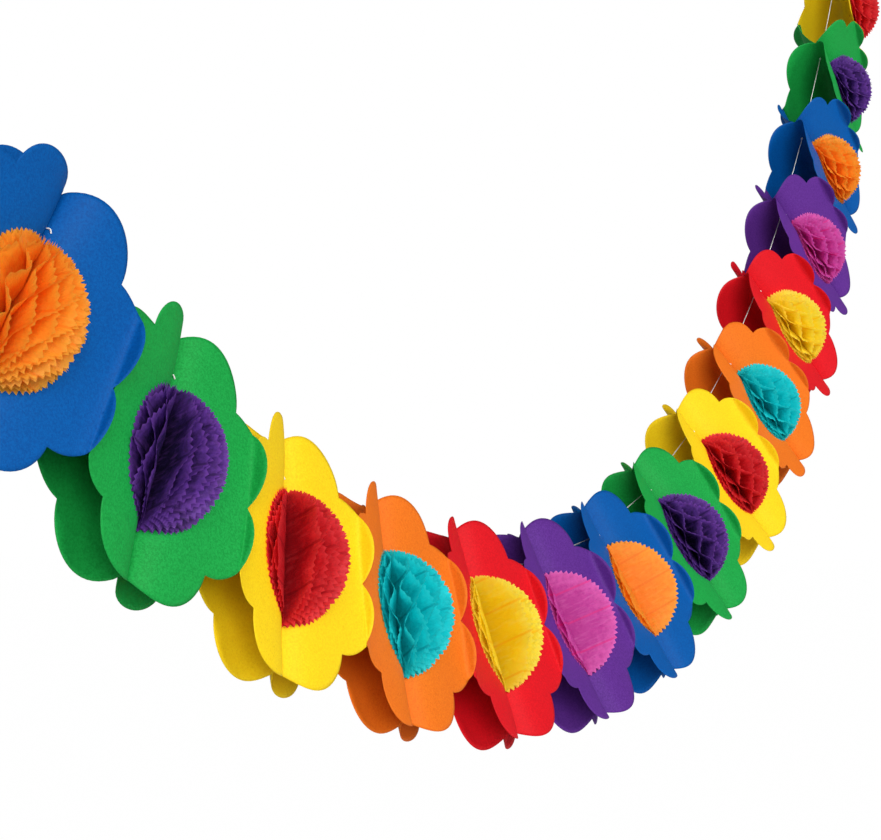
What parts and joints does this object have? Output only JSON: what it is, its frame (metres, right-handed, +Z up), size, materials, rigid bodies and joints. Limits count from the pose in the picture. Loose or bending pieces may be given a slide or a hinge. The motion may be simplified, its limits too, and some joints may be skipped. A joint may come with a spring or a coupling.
{
  "type": "tissue paper flower garland",
  "caption": "Swagged paper garland of folded flower sheets glued edge to edge, each pair holding a honeycomb tissue rosette, strung on a thread.",
  "frame": {"origin": "centre of the hanging loop at the left end of the thread", "axes": "+X along the garland to its right end, +Y to the back, through the thickness of the garland, +Z up"},
  "size_m": [2.0524, 0.1319, 0.9366],
  "materials": {
    "blue_paper": "soft satin, fine grain",
    "green_paper": "soft satin, fine grain",
    "yellow_paper": "soft satin, fine grain",
    "orange_paper": "soft satin, fine grain",
    "red_paper": "soft satin, fine grain",
    "purple_paper": "soft satin, fine grain",
    "orange_tissue": "matt tissue",
    "violet_tissue": "matt tissue",
    "red_tissue": "matt tissue",
    "teal_tissue": "matt tissue",
    "yellow_tissue": "matt tissue",
    "magenta_tissue": "matt tissue",
    "white_thread": "twisted cotton"
  },
  "bodies": {
    "root": {"flower_01_left_sheet": "blue_paper", "flower_01_right_sheet": "blue_paper", "rosette_01": "orange_tissue", "flower_02_left_sheet": "green_paper", "flower_02_right_sheet": "green_paper", "rosette_02": "violet_tissue", "flower_03_left_sheet": "yellow_paper", "flower_03_right_sheet": "yellow_paper", "rosette_03": "red_tissue", "flower_04_left_sheet": "orange_paper", "flower_04_right_sheet": "orange_paper", "rosette_04": "teal_tissue", "flower_05_left_sheet": "red_paper", "flower_05_right_sheet": "red_paper", "rosette_05": "yellow_tissue", "flower_06_left_sheet": "purple_paper", "flower_06_right_sheet": "purple_paper", "rosette_06": "magenta_tissue", "flower_07_left_sheet": "blue_paper", "flower_07_right_sheet": "blue_paper", "rosette_07": "orange_tissue", "flower_08_left_sheet": "green_paper", "flower_08_right_sheet": "green_paper", "rosette_08": "violet_tissue", "flower_09_left_sheet": "yellow_paper", "flower_09_right_sheet": "yellow_paper", "rosette_09": "red_tissue", "flower_10_left_sheet": "orange_paper", "flower_10_right_sheet": "orange_paper", "rosette_10": "teal_tissue", "flower_11_left_sheet": "red_paper", "flower_11_right_sheet": "red_paper", "rosette_11": "yellow_tissue", "flower_12_left_sheet": "purple_paper", "flower_12_right_sheet": "purple_paper", "rosette_12": "magenta_tissue", "flower_13_left_sheet": "blue_paper", "flower_13_right_sheet": "blue_paper", "rosette_13": "orange_tissue", "flower_14_left_sheet": "green_paper", "flower_14_right_sheet": "green_paper", "rosette_14": "violet_tissue", "flower_15_left_sheet": "yellow_paper", "flower_15_right_sheet": "yellow_paper", "rosette_15": "red_tissue", "thread": "white_thread"}
  },
  "joints": []
}
